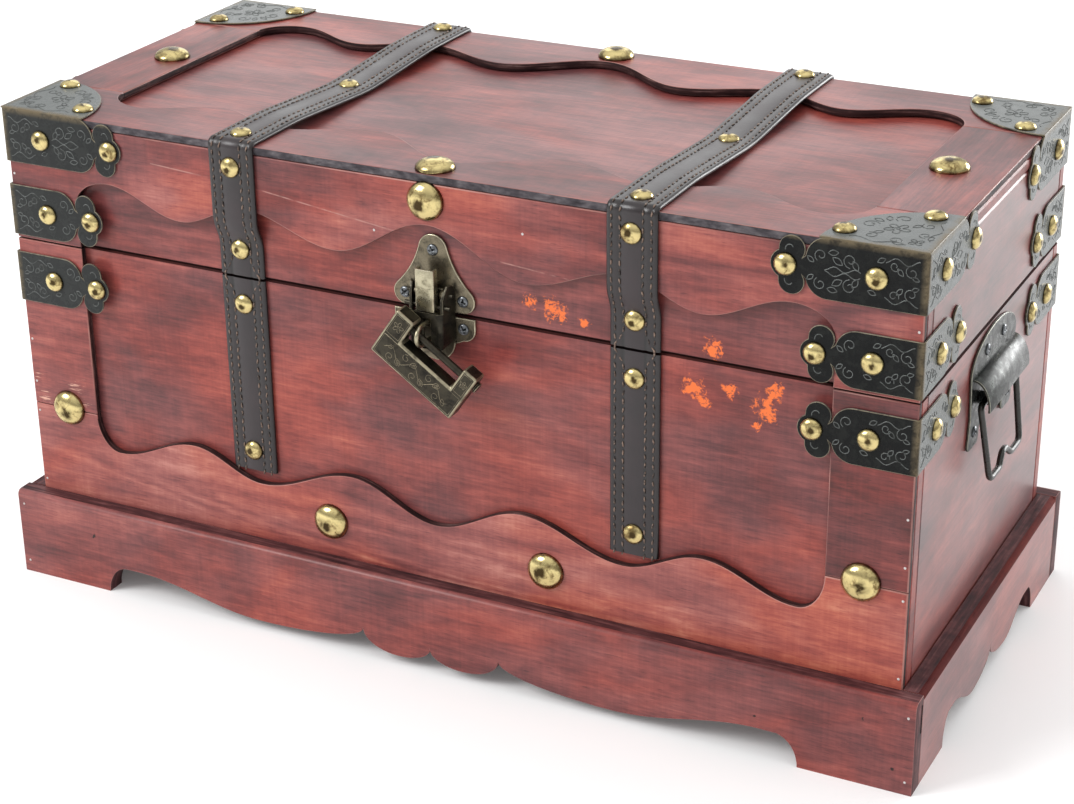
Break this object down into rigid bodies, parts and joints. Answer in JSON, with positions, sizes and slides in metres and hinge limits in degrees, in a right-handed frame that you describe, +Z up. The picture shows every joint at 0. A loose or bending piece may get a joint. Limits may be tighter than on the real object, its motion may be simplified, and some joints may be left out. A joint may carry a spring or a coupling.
{
  "type": "wooden treasure chest",
  "caption": "Flat-lidded wooden storage chest on a scalloped plinth, with wavy overlay boards, leather straps, corner brackets, toggle latch, padlock and side bail handles.",
  "frame": {"origin": "on the floor, under the middle of the whole chest's bounding box", "axes": "+X along the front to the viewer's right, +Y to the back, +Z up"},
  "size_m": [0.524, 0.257, 0.276],
  "materials": {
    "stained_wood": "red mahogany stain, satin, worn at the edges",
    "inner_wood": "red stain, dull",
    "dark_leather": "black-brown leather with two stitched rows on each side",
    "blackened_metal": "blackened sheet with engraved ornament and worn edges",
    "old_bronze": "dark antique bronze, brighter at the edges",
    "hinge_brass": "yellow brass with dark spots"
  },
  "bodies": {
    "box": {"plinth_front": "stained_wood", "plinth_back": "stained_wood", "plinth_left": "stained_wood", "plinth_right": "stained_wood", "body_front_panel": "stained_wood", "body_back_panel": "stained_wood", "body_left_panel": "stained_wood", "body_right_panel": "stained_wood", "body_base_board": "inner_wood", "front_rail": "stained_wood", "front_left_stile": "stained_wood", "front_right_stile": "stained_wood", "body_strap_left": "dark_leather", "body_strap_right": "dark_leather", "body_bracket_front_left": "blackened_metal", "body_bracket_front_right": "blackened_metal", "body_bracket_back_left": "blackened_metal", "body_bracket_back_right": "blackened_metal", "hinge_body_leaf_left": "hinge_brass", "hinge_body_leaf_right": "hinge_brass", "hinge_pin_left": "hinge_brass", "hinge_pin_right": "hinge_brass", "latch_base_plate": "old_bronze", "latch_lever_pin": "old_bronze", "padlock_staple": "old_bronze", "handle_plate_left": "blackened_metal", "handle_plate_right": "blackened_metal"},
    "lid": {"lid_front_panel": "stained_wood", "lid_back_panel": "stained_wood", "lid_left_panel": "stained_wood", "lid_right_panel": "stained_wood", "lid_top_panel": "stained_wood", "lid_valance": "stained_wood", "lid_frame_front": "stained_wood", "lid_frame_back": "stained_wood", "lid_frame_left": "stained_wood", "lid_frame_right": "stained_wood", "lid_strap_left": "dark_leather", "lid_strap_right": "dark_leather", "lid_corner_front_left": "blackened_metal", "lid_corner_front_right": "blackened_metal", "lid_corner_back_left": "blackened_metal", "lid_corner_back_right": "blackened_metal", "lid_bracket_front_left": "blackened_metal", "lid_bracket_front_right": "blackened_metal", "lid_bracket_back_left": "blackened_metal", "lid_bracket_back_right": "blackened_metal", "hinge_lid_leaf_left": "hinge_brass", "hinge_lid_leaf_right": "hinge_brass", "latch_catch_plate": "old_bronze"},
    "lever": {"latch_lever": "old_bronze"},
    "link": {"latch_link": "old_bronze"},
    "padlock": {"padlock_body": "old_bronze"},
    "bolt": {"padlock_bolt": "old_bronze"},
    "left_bail": {"handle_bail_left": "blackened_metal"},
    "right_bail": {"handle_bail_right": "blackened_metal"}
  },
  "joints": [
    {"name": "lid_hinge", "type": "hinge", "parent": "box", "child": "lid", "pos_m": [0, 0.121, 0.1984], "axis": [-1, 0, 0], "range_deg": [0, 105]},
    {"name": "lever_swing", "type": "hinge", "parent": "box", "child": "lever", "pos_m": [0.0015, -0.1101, 0.21], "axis": [-1, 0, 0], "range_deg": [0, 3]},
    {"name": "link_swing", "type": "hinge", "parent": "lever", "child": "link", "pos_m": [0.0015, -0.1129, 0.2043], "axis": [-1, 0, 0], "range_deg": [-3, 0]},
    {"name": "padlock_swing", "type": "hinge", "parent": "box", "child": "padlock", "pos_m": [0.0025, -0.1233, 0.1918], "axis": [-0.8241, 0, 0.5664], "range_deg": [0, 35]},
    {"name": "bolt_slide", "type": "slide", "parent": "padlock", "child": "bolt", "axis": [0.8241, 0, -0.5664], "range_m": [0, 0.022]},
    {"name": "left_bail_swing", "type": "hinge", "parent": "box", "child": "left_bail", "pos_m": [-0.2545, 0.0042, 0.163], "axis": [0, 1, 0], "range_deg": [0, 45]},
    {"name": "right_bail_swing", "type": "hinge", "parent": "box", "child": "right_bail", "pos_m": [0.2545, 0.0042, 0.163], "axis": [0, -1, 0], "range_deg": [0, 45]}
  ],
  "couplings": [
    {"joint": "link_swing", "follows": "lever_swing", "ratio": -1}
  ]
}
